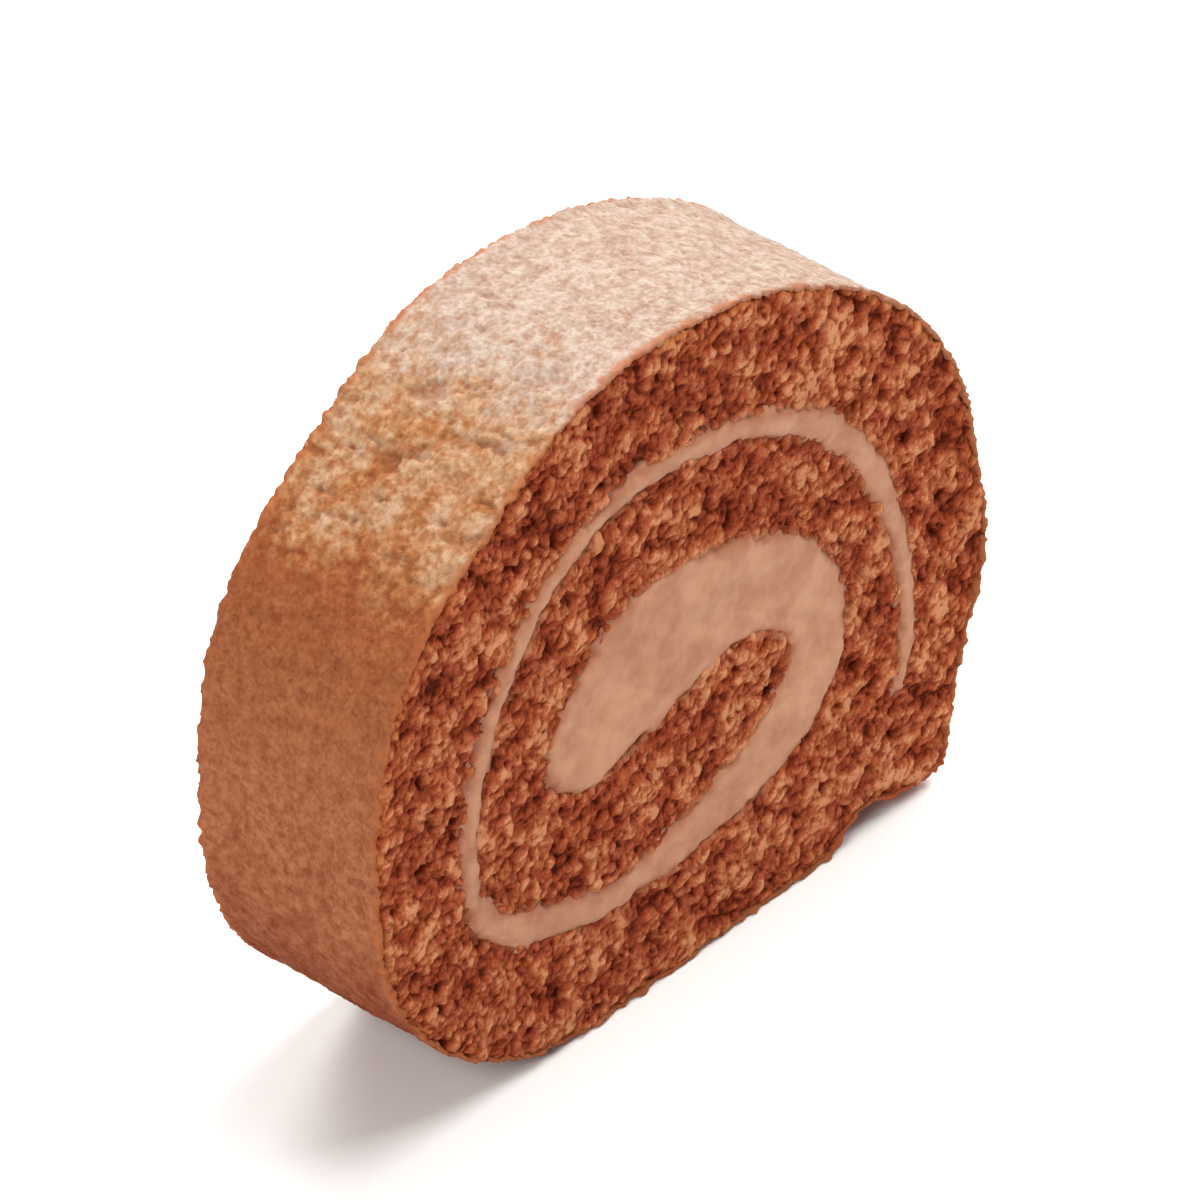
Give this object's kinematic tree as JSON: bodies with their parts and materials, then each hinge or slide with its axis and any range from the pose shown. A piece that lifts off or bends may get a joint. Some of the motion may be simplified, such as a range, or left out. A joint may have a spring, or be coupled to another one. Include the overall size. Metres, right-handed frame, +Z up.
{
  "type": "swiss roll slice",
  "caption": "Slice of chocolate Swiss roll: one sheet of sponge rolled round a ribbon of cocoa cream, standing on its flattened underside.",
  "frame": {"origin": "on the ground, under the middle of the slice", "axes": "+X across the roll, to the right of the face at -Y; +Y along the roll's axis, through the slice; +Z up"},
  "size_m": [0.0801, 0.021, 0.068],
  "materials": {
    "sponge": "dry open chocolate sponge crumb on the cut faces, thin baked skin outside",
    "cream": "soft matt cocoa cream, cut flush with the crumb"
  },
  "bodies": {
    "root": {"sponge": "sponge", "cream": "cream"}
  },
  "joints": []
}
